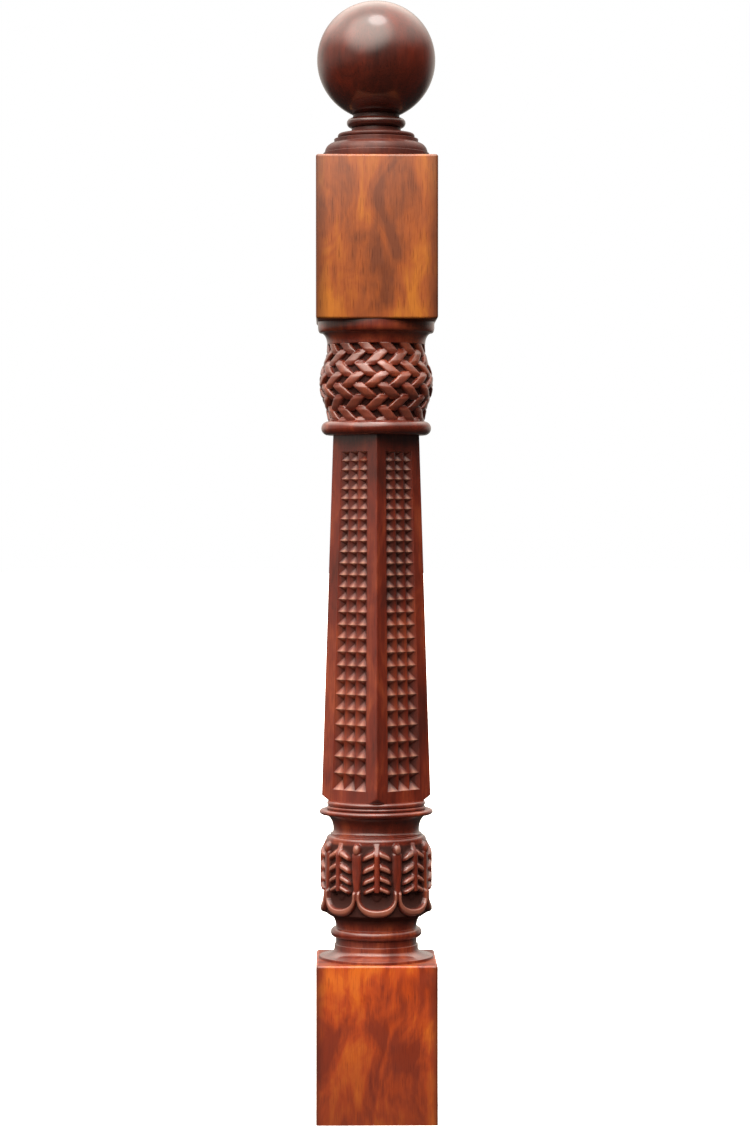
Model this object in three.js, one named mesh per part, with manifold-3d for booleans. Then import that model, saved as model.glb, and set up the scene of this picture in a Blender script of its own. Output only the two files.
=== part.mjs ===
// A carved hardwood newel post with a turned ball on its cap.
// Millimetres, +Z up. The underside of the lower block lies on z = 0 and the front looks towards -Y.
import * as THREE from 'three';
import { mergeVertices } from 'three/addons/utils/BufferGeometryUtils.js';
import Module from 'manifold-3d';

const wasm = await Module();
wasm.setup();

// The two blocks that stay square for the rails
const blockSide = 120;
const blockEdge = 2.4;
const lowerBlockHeight = 157.7;
const upperBlockHeight = 161.3;

// Foot of the lower turning, on the lower block
const footRadius = 57;
const footFilletHeight = 2.8;
const footCoveHeight = 7.5;
const collarRadius = 42;
const collarHeight = 4;
const grooveRadius = 40.5;
const grooveHeight = 7;
const footRingRadius = 45.7;
const footRingHeight = 10;

// Leaf bulb: the smooth body under the carving
const bulbFootRadius = 40.4;
const bulbFootCoveRadius = 46.5;
const bulbFootCoveHeight = 12;
const bulbFootHeight = 15;
const bulbRadius = 51;
const bulbBodyHeight = 59.5;
const bulbTopRadius = 50;
const bulbTopHeight = 13.6;

// Leaf bulb: the carving on it
const leafMotifs = 8;
const leafletPairs = 4;
const leafletPitch = 11.3;
const leafletDroop = 0.42;
const leafletFall = 0.38;
const leafletLength = 14;
const leafletRelief = 3.6;
const frondRelief = 1;
const midribHalfWidth = 3;
const midribRelief = 4.6;
const midribRise = 18;
const firstLeafletBelowTop = 11.5;
const cupRadius = 19;
const cupRimWidth = 5.5;
const cupRimRelief = 4.6;
const cupHollow = 1.2;
const cupRounding = 10;
const lanceHalfWidth = 4.2;
const lanceRelief = 4;
const lanceLength = 56;
const budHalfHeight = 6.5;
const budRelief = 4.6;

// Shoulder, hollow and lip above the leaf bulb
const shoulderRadius = 46.8;
const shoulderHeight = 4.1;
const hollowFilletRadius = 45.8;
const hollowFilletHeight = 2;
const hollowFootHeight = 4;
const hollowRadius = 43;
const hollowTopRadius = 53;
const hollowTopHeight = 15;
const lipRadius = 56.8;
const lipHeight = 5;
const neckBeadRadius = 49.3;
const lowNeckBeadHeight = 3.6;
const highNeckBeadHeight = 5.2;

// Shaft: a tapered square that stands corner forwards
const shaftHeight = 365;
const shaftFootCorner = 55;
const shaftTopCorner = 43.4;
const shaftCornerChamfer = 7.2;
const shaftCornerChamferHeight = 5.6;

// Chip-carved panels on the four faces of the shaft
const panelColumns = 3;
const panelRows = 27;
const panelFootMargin = 11.5;
const panelTopMargin = 16.5;
const panelFootWidth = 46.6;
const panelTopWidth = 36.8;
const rowGrowth = 1.025;
const chipSlope = 0.36;
const chipRidgeDrop = 0.35;
const chipCutterHeight = 5;

// Upper turning with the basket-weave bulb
const shaftBeadRadius = 55;
const shaftBeadHeight = 14;
const shaftBeadDepth = 7;
const weaveNeckRadius = 49;
const weaveRadius = 57.3;
const weaveHeight = 76.5;
const weaveStrands = 14;
const crossingRise = 11.15;
const firstCrossing = 6.4;
const strandWidth = 9.4;
const strandLength = 18.5;
const strandHeight = 4.4;
const neckingRadius = 56;
const neckingHeight = 11.8;
const ringRadius = 58.2;
const ringHeight = 10.9;

// Cap over the upper block
const capRadius = 53;
const capFilletHeight = 7;
const capOvoloRadius = 51.4;
const capOvoloHeight = 10.2;
const capStepRadius = 42;
const capStepHeight = 4.1;
const capDiscRadius = 38.4;
const capDiscHeight = 5.6;
const capNeckRadius = 24.6;
const capNeckHeight = 5.2;

// Ball finial
const seatGap = 0.3;
const finialRingRadius = 29.4;
const finialRingHeight = 9.6;
const waistRadius = 23.2;
const waistHeight = 3.6;
const ballRadius = 59;

// Facets
const turningSegments = 16;
const weaveRows = 3;
const ballRows = 8;
const beadSteps = 3;
const curveStepRise = 12;
const leastRowRise = 1;

// Slack in comparing two lengths
const slack = 0.01;

// How deep one turned member reaches into its neighbour, so that they join as one timber
const joint = 1.5;

// Heights of the members, from the floor up
const footBase = lowerBlockHeight;
const footTop = footBase + footFilletHeight + footCoveHeight + collarHeight + grooveHeight + footRingHeight;
const bulbHeight = bulbFootHeight + bulbBodyHeight + bulbTopHeight;
const bulbTop = footTop + bulbHeight;
const hollowHeight = hollowFilletHeight + hollowFootHeight + hollowTopHeight;
const neckBase = bulbTop + shoulderHeight + hollowHeight + lipHeight;
const shaftBase = neckBase + lowNeckBeadHeight + highNeckBeadHeight;
const shaftTop = shaftBase + shaftHeight;
const weaveBase = shaftTop + shaftBeadHeight;
const weaveTop = weaveBase + weaveHeight;
const upperBlockBase = weaveTop + neckingHeight + ringHeight;
const capBase = upperBlockBase + upperBlockHeight;
const capTop = capBase + capFilletHeight + capOvoloHeight + capStepHeight + capDiscHeight + capNeckHeight;

// The outline of a turned member, drawn upwards from a height on the axis
class Outline {
  constructor(height) {
    this.height = height;
    this.points = [new THREE.Vector2(0, height)];
  }

  get radius() {
    return this.points[this.points.length - 1].x;
  }

  to(radius, rise, steps = 1) {
    const start = this.radius;
    for (let i = 1; i <= steps; i += 1) {
      const share = i / steps;
      this.points.push(new THREE.Vector2(start + (radius - start) * share, this.height + rise * share));
    }
    this.height += rise;
    return this;
  }

  // A quarter curve that sets off level and ends upright
  levelCurve(radius, rise) {
    const start = this.radius;
    const steps = 1 + Math.ceil(rise / curveStepRise);
    for (let i = 1; i <= steps; i += 1) {
      const turn = (i / steps) * (Math.PI / 2);
      const r = start + (radius - start) * Math.sin(turn);
      this.points.push(new THREE.Vector2(r, this.height + rise * (1 - Math.cos(turn))));
    }
    this.height += rise;
    return this;
  }

  // A quarter curve that sets off upright and ends level
  uprightCurve(radius, rise) {
    const start = this.radius;
    const steps = 1 + Math.ceil(rise / curveStepRise);
    for (let i = 1; i <= steps; i += 1) {
      const turn = (i / steps) * (Math.PI / 2);
      const r = start + (radius - start) * (1 - Math.cos(turn));
      this.points.push(new THREE.Vector2(r, this.height + rise * Math.sin(turn)));
    }
    this.height += rise;
    return this;
  }

  // A rounded bead that stands out by its depth
  bead(radius, rise, depth = rise / 2) {
    for (let i = 0; i <= beadSteps; i += 1) {
      const turn = (i / beadSteps) * Math.PI;
      const r = radius - depth + depth * Math.sin(turn);
      this.points.push(new THREE.Vector2(r, this.height + rise * (1 - Math.cos(turn)) / 2));
    }
    this.height += rise;
    return this;
  }

  end() {
    this.points.push(new THREE.Vector2(0, this.height));
    return this.points;
  }
}

// A closed three.js geometry as a solid, ready to be joined or cut
function solid(geometry) {
  geometry.deleteAttribute('normal');
  geometry.deleteAttribute('uv');
  const merged = mergeVertices(geometry);
  const faces = [];
  for (let i = 0; i < merged.index.count; i += 3) {
    const corners = [0, 1, 2].map((k) => merged.index.getX(i + k));
    if (new Set(corners).size === 3) {
      faces.push(...corners);
    }
  }
  return new wasm.Manifold(new wasm.Mesh({
    numProp: 3,
    vertProperties: new Float32Array(merged.attributes.position.array),
    triVerts: new Uint32Array(faces),
  }));
}

// A turned solid
function turned(points, segments = turningSegments) {
  return solid(new THREE.LatheGeometry(points, segments).rotateX(Math.PI / 2));
}

// A turned solid whose points are moved by a carving function of angle and outline point. Each
// four-cornered facet is split between the two corners nearest in radius, so the facets follow the
// carving.
function carved(points, angles, carving) {
  const geometry = new THREE.LatheGeometry(points, angles.length);
  const position = geometry.attributes.position;
  const rows = points.length;
  const radii = [];
  for (let i = 0; i < position.count; i += 1) {
    const angle = angles[Math.floor(i / rows) % angles.length];
    const point = carving(angle, points[i % rows]);
    position.setXYZ(i, point.x * Math.sin(angle), point.y, point.x * Math.cos(angle));
    radii.push(point.x);
  }
  const faces = [];
  for (let column = 0; column < angles.length; column += 1) {
    for (let row = 0; row + 1 < rows; row += 1) {
      const low = column * rows + row;
      const [a, b, c, d] = [low, low + rows, low + rows + 1, low + 1];
      if (Math.abs(radii[b] - radii[d]) < Math.abs(radii[a] - radii[c])) {
        faces.push(a, b, d, c, d, b);
      } else {
        faces.push(a, b, c, a, c, d);
      }
    }
  }
  geometry.setIndex(faces);
  return solid(geometry.rotateX(Math.PI / 2));
}

// How far a value lies from the nearest whole number
function offWhole(value) {
  return value - Math.round(value);
}

// A square block with eased edges
function block(base, height) {
  const half = blockSide / 2 - blockEdge;
  const shape = new THREE.Shape();
  shape.absarc(half - blockEdge, half - blockEdge, blockEdge, 0, Math.PI / 2);
  shape.absarc(blockEdge - half, half - blockEdge, blockEdge, Math.PI / 2, Math.PI);
  shape.absarc(blockEdge - half, blockEdge - half, blockEdge, Math.PI, Math.PI * 1.5);
  shape.absarc(half - blockEdge, blockEdge - half, blockEdge, Math.PI * 1.5, Math.PI * 2);
  const geometry = new THREE.ExtrudeGeometry(shape, {
    depth: height - 2 * blockEdge,
    curveSegments: 1,
    bevelThickness: blockEdge,
    bevelSize: blockEdge,
    bevelSegments: 1,
  });
  return solid(geometry.translate(0, 0, base + blockEdge));
}

// The lower block is sawn off flat and sharp where it stands
function lowerBlock() {
  const buried = block(-2 * blockEdge, lowerBlockHeight + 2 * blockEdge);
  return buried.trimByPlane([0, 0, 1], 0);
}

function footTurning() {
  return turned(new Outline(footBase - joint)
    .to(footRadius, 0)
    .to(footRadius, joint + footFilletHeight)
    .levelCurve(collarRadius, footCoveHeight)
    .to(collarRadius, collarHeight)
    .to(grooveRadius, 0)
    .to(grooveRadius, grooveHeight)
    .bead(footRingRadius, footRingHeight)
    .end());
}

// The carving of the leaf bulb is laid out by two sizes: side is the distance round the bulb from the
// middle line of a leaf motif, below is the depth under the bulb's top.
const motifAngle = 2 * Math.PI / leafMotifs;
const halfMotif = motifAngle * bulbRadius / 2;
const lastCrest = firstLeafletBelowTop + (leafletPairs - 1) * leafletPitch;
const cupTop = lastCrest + leafletFall * leafletPitch;
const cupBottom = bulbTopHeight + bulbBodyHeight;
const cupCentre = cupBottom - cupRadius;
const hollowBottom = cupBottom - cupRimWidth;

// Relief of a leaf: its rib, and pairs of leaflets that swell out and then fall away steeply
function frond(side, below) {
  if (side > leafletLength || below > cupTop + slack) {
    return 0;
  }
  if (side < midribHalfWidth) {
    return midribRelief * Math.min(1, below / midribRise);
  }
  const along = (below - firstLeafletBelowTop) / leafletPitch;
  if (along < 0) {
    return frondRelief;
  }
  const share = along - Math.floor(along);
  const swell = share < leafletFall ? 1 - share / leafletFall : (share - leafletFall) / (1 - leafletFall);
  return frondRelief + leafletRelief * swell;
}

// Relief of the cup under a leaf: a raised rim round a shallow hollow
function cup(side, below) {
  const reach = Math.max(side, below - cupCentre);
  if (below < cupTop + slack || reach > cupRadius + slack) {
    return 0;
  }
  return reach > cupRadius - cupRimWidth ? cupRimRelief : -cupHollow;
}

// Relief of the lance between two leaves, with a bud for its head
function lance(fromMiddle, below) {
  const bud = Math.hypot(fromMiddle / lanceHalfWidth, (below - budHalfHeight) / budHalfHeight);
  const width = fromMiddle / lanceHalfWidth;
  if (bud < 1) {
    return budRelief * Math.sqrt(1 - bud * bud);
  }
  if (width > 1 || below < budHalfHeight || below > lanceLength) {
    return 0;
  }
  const taper = Math.min(1, (lanceLength - below) / (2 * lanceHalfWidth));
  return lanceRelief * taper * Math.sqrt(1 - width * width);
}

// How far the rows droop along the leaflets, and how far they rise again round the foot of the cups
function droop(side, below) {
  const hanging = Math.min(1, below / firstLeafletBelowTop, (cupBottom - below) / (cupBottom - lastCrest));
  const rounding = Math.max(0, (below - cupCentre) / cupRadius);
  const leaflet = side > leafletLength ? 0 : leafletDroop * side * Math.max(0, hanging);
  return leaflet - cupRounding * rounding * (side / halfMotif) ** 2;
}

function leafCarving(angle, point) {
  const side = Math.abs(offWhole(angle / motifAngle)) * motifAngle * bulbRadius;
  const below = bulbTop - point.y;
  if (point.x === 0 || below < slack || below > cupBottom + slack) {
    return point;
  }
  const raised = Math.max(frond(side, below), cup(side, below), lance(halfMotif - side, below));
  const relief = raised > 0 ? raised : Math.min(0, cup(side, below));
  return new THREE.Vector2(point.x + relief, point.y - droop(side, below));
}

// Columns of facets run along the edges of the ribs, leaflets and lances
function leafAngles() {
  const inset = midribHalfWidth / 100;
  const sides = [0, midribHalfWidth + inset, leafletLength - inset, halfMotif - lanceHalfWidth, halfMotif];
  const offsets = sides.map((side) => side / bulbRadius);
  const back = offsets.slice(1, -1).reverse().map((offset) => motifAngle - offset);
  const angles = [];
  for (let motif = 0; motif < leafMotifs; motif += 1) {
    angles.push(...[...offsets, ...back].map((offset) => motif * motifAngle + offset));
  }
  return angles;
}

// Rows of facets run along the crests and feet of the leaflets and the edges of the cups
function leafRows() {
  const rows = [0, firstLeafletBelowTop / 2, (cupTop + cupCentre) / 2];
  for (let pair = 0; pair < leafletPairs; pair += 1) {
    const crest = firstLeafletBelowTop + pair * leafletPitch;
    rows.push(crest, crest + leafletFall * leafletPitch);
  }
  rows.push(hollowBottom - leastRowRise, hollowBottom + leastRowRise, cupBottom);
  rows.sort((a, b) => b - a);
  return rows.filter((below, i) => i === 0 || rows[i - 1] - below > leastRowRise / 2);
}

function leafBulb() {
  const outline = new Outline(footTop - joint)
    .to(bulbFootRadius, 0)
    .to(bulbFootRadius, joint)
    .uprightCurve(bulbFootCoveRadius, bulbFootCoveHeight);
  for (const below of leafRows()) {
    const radius = THREE.MathUtils.lerp(bulbTopRadius, bulbRadius, Math.min(1, below / bulbTopHeight));
    outline.to(radius, bulbTop - below - outline.height);
  }
  return carved(outline.end(), leafAngles(), leafCarving);
}

function hollowAndLip() {
  return turned(new Outline(bulbTop - joint)
    .to(bulbTopRadius - joint, 0)
    .to(bulbTopRadius, joint)
    .uprightCurve(shoulderRadius, shoulderHeight)
    .to(hollowFilletRadius, 0)
    .to(hollowFilletRadius, hollowFilletHeight)
    .levelCurve(hollowRadius, hollowFootHeight)
    .uprightCurve(hollowTopRadius, hollowTopHeight)
    .bead(lipRadius, lipHeight)
    .bead(neckBeadRadius, lowNeckBeadHeight)
    .bead(neckBeadRadius, highNeckBeadHeight)
    .end());
}

// Distance from the axis to a flat face of the shaft at a height above the shaft's foot
function faceDistance(above) {
  const corner = THREE.MathUtils.lerp(shaftFootCorner, shaftTopCorner, above / shaftHeight);
  return corner * Math.SQRT1_2;
}

// The cutter of one panel: a flat slab whose underside is a field of four-sided points, one for each
// chip. It is drawn with x across, y up the face and z outwards, from the middle of the panel's foot.
function panelCutter() {
  const panelHeight = shaftHeight - panelFootMargin - panelTopMargin;
  const rowSum = (rowGrowth ** panelRows - 1) / (rowGrowth - 1);
  const lowestPitch = (panelHeight / rowSum) * rowGrowth ** (panelRows - 1);
  const halfWidthAt = (y) => THREE.MathUtils.lerp(panelFootWidth, panelTopWidth, y / panelHeight) / 2;
  const across = (column, y) => (2 * column / panelColumns - 1) * halfWidthAt(y);
  const perLine = panelColumns + 1;
  const points = [];
  const faces = [];
  const lines = [0];
  for (let row = 0; row < panelRows; row += 1) {
    lines.push(lines[row] + lowestPitch / rowGrowth ** row);
  }
  for (const y of lines) {
    for (let column = 0; column < perLine; column += 1) {
      points.push(across(column, y), y, -chipRidgeDrop);
    }
  }
  for (let row = 0; row < panelRows; row += 1) {
    const middle = (lines[row] + lines[row + 1]) / 2;
    const depth = chipSlope * (lines[row + 1] - lines[row]);
    for (let column = 0; column < panelColumns; column += 1) {
      const corner = row * perLine + column;
      const ring = [corner, corner + 1, corner + 1 + perLine, corner + perLine];
      const tip = points.length / 3;
      points.push(across(column + 0.5, middle), middle, -chipRidgeDrop - depth);
      ring.forEach((from, i) => faces.push(ring[(i + 1) % 4], from, tip));
    }
  }
  const lid = points.length / 3;
  const top = lines[panelRows];
  for (const [column, y] of [[0, 0], [panelColumns, 0], [panelColumns, top], [0, top]]) {
    points.push(across(column, y), y, chipCutterHeight);
  }
  faces.push(lid, lid + 1, lid + 2, lid, lid + 2, lid + 3);
  const columns = lines.slice(0, perLine).map((_, i) => i);
  const rows = lines.map((_, i) => i);
  const walls = [
    columns,
    rows.map((row) => row * perLine + panelColumns),
    columns.map((column) => panelRows * perLine + panelColumns - column),
    rows.map((row) => (panelRows - row) * perLine),
  ];
  walls.forEach((wall, side) => {
    const near = lid + side;
    const far = lid + (side + 1) % 4;
    for (let i = 0; i + 1 < wall.length; i += 1) {
      faces.push(wall[i], wall[i + 1], near);
    }
    faces.push(wall[wall.length - 1], far, near);
  });
  const geometry = new THREE.BufferGeometry();
  geometry.setAttribute('position', new THREE.Float32BufferAttribute(points, 3));
  geometry.setIndex(faces);
  return geometry;
}

function shaft() {
  const height = shaftHeight + joint;
  const topCorner = THREE.MathUtils.lerp(shaftFootCorner, shaftTopCorner, height / shaftHeight);
  const taper = new THREE.CylinderGeometry(topCorner, shaftFootCorner, height, 4, 1);
  const square = solid(taper.rotateX(Math.PI / 2).translate(0, 0, shaftBase + height / 2));
  const foot = shaftFootCorner - shaftCornerChamfer;
  const turnedOff = turned(new Outline(shaftBase - joint)
    .to(foot, 0)
    .to(foot, joint)
    .to(shaftFootCorner, shaftCornerChamferHeight)
    .to(shaftFootCorner, shaftHeight)
    .end());
  const lean = Math.atan((faceDistance(0) - faceDistance(shaftHeight)) / shaftHeight);
  const cutter = panelCutter().rotateX(Math.PI / 2 - lean)
    .translate(0, -faceDistance(panelFootMargin), shaftBase + panelFootMargin);
  const chips = solid(cutter);
  let body = square.intersect(turnedOff);
  for (let face = 0; face < 4; face += 1) {
    body = body.subtract(chips.rotate([0, 0, 45 + 90 * face]));
  }
  return body;
}

// The rounded swelling of the weave bulb, from neck to neck
function weaveSwell(above) {
  const swell = Math.sin(Math.PI * above / weaveHeight) ** 2;
  return THREE.MathUtils.lerp(weaveNeckRadius, weaveRadius, swell);
}

// Two sets of strands wind opposite ways round the bulb and pass over one another in turn. Where a
// strand passes over, it shows as a block along its own way, with holes left between the blocks.
function weaveBulb() {
  const body = new Outline(weaveBase - joint).to(weaveNeckRadius - strandHeight, 0);
  for (let i = 0; i <= weaveRows; i += 1) {
    const above = weaveHeight * i / weaveRows;
    body.to(weaveSwell(above) - strandHeight, weaveBase + above - body.height);
  }
  const strandAngle = 2 * Math.PI / weaveStrands;
  const blocks = [turned(body.end(), weaveStrands)];
  const crossings = Math.floor((weaveHeight - firstCrossing) / crossingRise) + 1;
  for (let row = 0; row < crossings; row += 1) {
    const above = firstCrossing + row * crossingRise;
    const radius = weaveSwell(above);
    const lean = Math.atan2(weaveSwell(above + 1) - weaveSwell(above - 1), 2);
    const way = Math.atan2(radius * strandAngle / 2, crossingRise) * (row % 2 ? 1 : -1);
    for (let strand = 0; strand < weaveStrands; strand += 1) {
      const shape = new THREE.BoxGeometry(strandWidth, 2 * strandHeight, strandLength).rotateY(way);
      shape.rotateX(lean).translate(0, strandHeight - radius, 0);
      shape.rotateZ((strand + (row % 2 ? 0 : 0.5)) * strandAngle).translate(0, 0, weaveBase + above);
      blocks.push(solid(shape));
    }
  }
  return wasm.Manifold.union(blocks);
}

function shaftBead() {
  return turned(new Outline(shaftTop).bead(shaftBeadRadius, shaftBeadHeight, shaftBeadDepth).end());
}

function neckingAndRing() {
  return turned(new Outline(weaveTop - joint)
    .to(weaveNeckRadius - strandHeight, 0)
    .to(weaveNeckRadius, joint)
    .uprightCurve(neckingRadius, neckingHeight)
    .levelCurve(ringRadius, ringHeight / 2)
    .to(ringRadius, ringHeight / 2 + joint)
    .end());
}

function cap() {
  return turned(new Outline(capBase - joint)
    .to(capRadius, 0)
    .to(capRadius, joint + capFilletHeight)
    .to(capOvoloRadius, 0)
    .uprightCurve(capStepRadius, capOvoloHeight)
    .to(capStepRadius, capStepHeight)
    .bead(capDiscRadius, capDiscHeight)
    .to(capNeckRadius, 0)
    .to(capNeckRadius, capNeckHeight)
    .end());
}

function finial() {
  const outline = new Outline(capTop + seatGap)
    .bead(finialRingRadius, finialRingHeight)
    .to(waistRadius, 0)
    .to(waistRadius, waistHeight);
  const start = Math.asin(waistRadius / ballRadius);
  const centre = outline.height + ballRadius * Math.cos(start);
  for (let i = 1; i < ballRows; i += 1) {
    const turn = start + (Math.PI - start) * (i / ballRows);
    outline.to(ballRadius * Math.sin(turn), centre - ballRadius * Math.cos(turn) - outline.height);
  }
  outline.height = centre + ballRadius;
  return turned(outline.end());
}

// A named mesh of a solid, in flat facets
function mesh(name, shape, colour, roughness) {
  const { vertProperties, triVerts } = shape.getMesh();
  const geometry = new THREE.BufferGeometry();
  geometry.setAttribute('position', new THREE.BufferAttribute(vertProperties, 3));
  geometry.setIndex(new THREE.BufferAttribute(triVerts, 1));
  geometry.computeVertexNormals();
  const material = new THREE.MeshStandardMaterial({ color: colour, roughness, metalness: 0 });
  const piece = new THREE.Mesh(geometry, material);
  piece.name = name;
  return piece;
}

const timber = wasm.Manifold.union([
  lowerBlock(),
  footTurning(),
  leafBulb(),
  hollowAndLip(),
  shaft(),
  shaftBead(),
  weaveBulb(),
  neckingAndRing(),
  block(upperBlockBase, upperBlockHeight),
  cap(),
]);

const newel = new THREE.Group();
newel.add(mesh('post', timber, 0x8a3b22, 0.3));
newel.add(mesh('ball_finial', finial(), 0x5a1a12, 0.22));

export default newel;
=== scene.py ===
# Looks of the carved newel post: its fine carving, lacquered wood, light and camera.
import math

import bmesh
import bpy
import numpy as np
from mathutils import Matrix, Vector, noise


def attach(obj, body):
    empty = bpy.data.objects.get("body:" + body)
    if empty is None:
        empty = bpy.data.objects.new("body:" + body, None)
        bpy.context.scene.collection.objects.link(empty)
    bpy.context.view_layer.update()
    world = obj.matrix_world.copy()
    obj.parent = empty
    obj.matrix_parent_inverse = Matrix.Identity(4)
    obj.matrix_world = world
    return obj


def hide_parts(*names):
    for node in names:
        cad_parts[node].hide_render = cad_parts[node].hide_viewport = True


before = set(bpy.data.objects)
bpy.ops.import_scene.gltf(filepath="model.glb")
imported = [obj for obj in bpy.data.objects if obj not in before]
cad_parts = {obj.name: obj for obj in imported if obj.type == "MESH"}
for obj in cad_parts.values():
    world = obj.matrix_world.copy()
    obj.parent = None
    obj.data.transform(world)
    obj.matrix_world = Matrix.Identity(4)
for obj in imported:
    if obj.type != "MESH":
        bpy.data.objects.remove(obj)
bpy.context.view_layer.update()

MM = 0.001

# Members of the post from the floor up, in millimetres, as in the part's solids
BLOCK_SIDE = 120
BLOCK_EDGE = 2.4
LOWER_BLOCK_HEIGHT = 157.7
UPPER_BLOCK_HEIGHT = 161.3
FOOT_FILLET_HEIGHT = 2.8
FOOT_COVE_HEIGHT = 7.5
COLLAR_HEIGHT = 4
GROOVE_HEIGHT = 7
FOOT_RING_HEIGHT = 10
BULB_FOOT_COVE_HEIGHT = 12
BULB_FOOT_HEIGHT = 15
BULB_BODY_HEIGHT = 59.5
BULB_TOP_HEIGHT = 13.6
SHOULDER_HEIGHT = 4.1
HOLLOW_FILLET_HEIGHT = 2
HOLLOW_FOOT_HEIGHT = 4
HOLLOW_TOP_HEIGHT = 15
LIP_HEIGHT = 5
LOW_NECK_BEAD_HEIGHT = 3.6
HIGH_NECK_BEAD_HEIGHT = 5.2
SHAFT_HEIGHT = 365
SHAFT_BEAD_HEIGHT = 14
WEAVE_HEIGHT = 76.5
NECKING_HEIGHT = 11.8
RING_HEIGHT = 10.9

# How far a member reaches into its neighbour
JOINT = 1.5

# Radii of the plain turned members, in millimetres
FOOT_RADIUS = 57
COLLAR_RADIUS = 42
GROOVE_RADIUS = 40.5
FOOT_RING_RADIUS = 45.7
BULB_FOOT_RADIUS = 40.4
BULB_FOOT_COVE_RADIUS = 46.5
BULB_RADIUS = 51
BULB_TOP_RADIUS = 50
SHOULDER_RADIUS = 46.8
HOLLOW_FILLET_RADIUS = 45.8
HOLLOW_RADIUS = 43
HOLLOW_TOP_RADIUS = 53
LIP_RADIUS = 56.8
NECK_BEAD_RADIUS = 49.3
SHAFT_BEAD_RADIUS = 55
WEAVE_NECK_RADIUS = 49
WEAVE_RADIUS = 57.3
NECKING_RADIUS = 56
RING_RADIUS = 58.2

# Cap and ball finial, in millimetres
CAP_RADIUS = 53
CAP_FILLET_HEIGHT = 7
CAP_OVOLO_RADIUS = 51.4
CAP_OVOLO_HEIGHT = 10.2
CAP_STEP_RADIUS = 42
CAP_STEP_HEIGHT = 4.1
CAP_DISC_RADIUS = 38.4
CAP_DISC_HEIGHT = 5.6
CAP_NECK_RADIUS = 24.6
CAP_NECK_HEIGHT = 5.2
SEAT_GAP = 0.3
FINIAL_RING_RADIUS = 29.4
FINIAL_RING_HEIGHT = 9.6
WAIST_RADIUS = 23.2
WAIST_HEIGHT = 3.6
BALL_RADIUS = 59

# Shaft and its chip-carved panels, in millimetres
SHAFT_FOOT_CORNER = 55
SHAFT_TOP_CORNER = 43.4
SHAFT_CORNER_CHAMFER = 7.2
SHAFT_CORNER_CHAMFER_HEIGHT = 5.6
PANEL_COLUMNS = 3
PANEL_ROWS = 27
PANEL_FOOT_MARGIN = 11.5
PANEL_TOP_MARGIN = 16.5
PANEL_FOOT_WIDTH = 46.6
PANEL_TOP_WIDTH = 36.8
ROW_GROWTH = 1.025
CHIP_SLOPE = 0.36
CHIP_RIDGE_DROP = 0.35
CHIP_TIP_RISE = 0.12
PANEL_WALL = 0.25
ARRIS_EASE = 0.9
RIDGE_EASE = 0.28

# Basket weave, in millimetres
WEAVE_STRANDS = 14
CROSSING_RISE = 11.15
FIRST_CROSSING = 6.4
STRAND_WIDTH = 10.4
STRAND_HEIGHT = 4.4
STRAND_CROWN = 0.7
STRAND_SQUARENESS = 9
WEAVE_WAVER = 0.3

# How far a strand sinks, as a share of its height, on the way from its top at 0 to its lowest point
# at 1: first on a slope, then in a dive under its neighbour
SLOPE_SINK = 0.3
SLOPE_STRETCH = (0.25, 0.72)
DIVE_SINK = 0.62
DIVE_STRETCH = (0.68, 0.86)

# Leaf carving, in millimetres. Depths are counted down from the bulb's top, and widths round the
# smooth body from the middle line of a leaf. A pair of numbers is the stretch of a smooth change.
LEAF_MOTIFS = 8
LEAF_WAVER = 0.22
GROUND_RELIEF = 0.05
CARVING_TOP = (0, 1.5)
CARVING_FOOT = (2, 0)

# Leaflets and their midrib. The crests are depths, the first rise is counted from the first crest,
# and the fall and the rise are shares of the way from one crest to the next.
LEAFLET_CRESTS = (11.1, 23.8, 35.0, 44.8, 54.0)
LAST_CREST = LEAFLET_CRESTS[-2]
FIRST_LEAFLET_RISE = (-7, -2)
LEAFLET_FALL = (0, 0.24)
LEAFLET_RISE = (0.42, 0.84)
LEAFLET_DROOP = 0.46
DROOP_CURL = 0.25
LEAFLET_LENGTH = 14.6
LEAFLET_NOTCH = 0.16
LEAFLET_TIP = 3.4
LEAFLET_ROOT = (0.5, 3.6)
LEAFLET_RELIEF = 4.0
FROND_RELIEF = 0.7
FROND_START = (4, 7)
FROND_SPREAD = (-8, 9)
MIDRIB_HALF_WIDTH = 2.9
MIDRIB_RELIEF = 4.9
MIDRIB_RISE = (-2, 13)
MIDRIB_SQUARENESS = 4

# Lower end of the frond, counted down from its last crest
FROND_TAPER = 0.1
FROND_TAPER_STRETCH = (-5, 0)
FROND_GROUND_END = 2
FROND_END = 4.5
MIDRIB_END = 3.5

# Cup under a frond, with a tongue in it. Their starts are counted down from the frond's last crest.
CUP_DEPTH = 54.1
CUP_HALF_WIDTH = 19.6
CUP_DROP = 19.2
CUP_ROUNDNESS = 2.4
CUP_START = (-1, 6)
CUP_RELIEF = 4.9
CUP_RIM_SQUARENESS = 4
HOLLOW_HALF_WIDTH = 16.2
HOLLOW_DROP = 11.6
HOLLOW_ROUNDNESS = 2.2
HOLLOW_START = (3, 7)
CUP_HOLLOW = 2.2
CUP_HOLLOW_SQUARENESS = 3
TONGUE_TOP = 2
TONGUE_SHOWS = 3
TONGUE_HALF_WIDTH = 6.2
TONGUE_LENGTH = 11
TONGUE_RELIEF = 1.6
TONGUE_SQUARENESS = 4

# Lance between two fronds, and the bud over it
LANCE_HALF_WIDTH = 5.3
LANCE_LENGTH = 60
LANCE_TAPER = 30
LANCE_TAPER_POWER = 0.6
LANCE_LEAST_WIDTH = 0.01
LANCE_POINT = 4
LANCE_START = (2, 5)
LANCE_RELIEF = 3.4
LANCE_SQUARENESS = 3
BUD_DEPTH = 6.4
BUD_HALF_WIDTH = 4.5
BUD_HALF_HEIGHT = 6.6
BUD_RELIEF = 5.2

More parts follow.
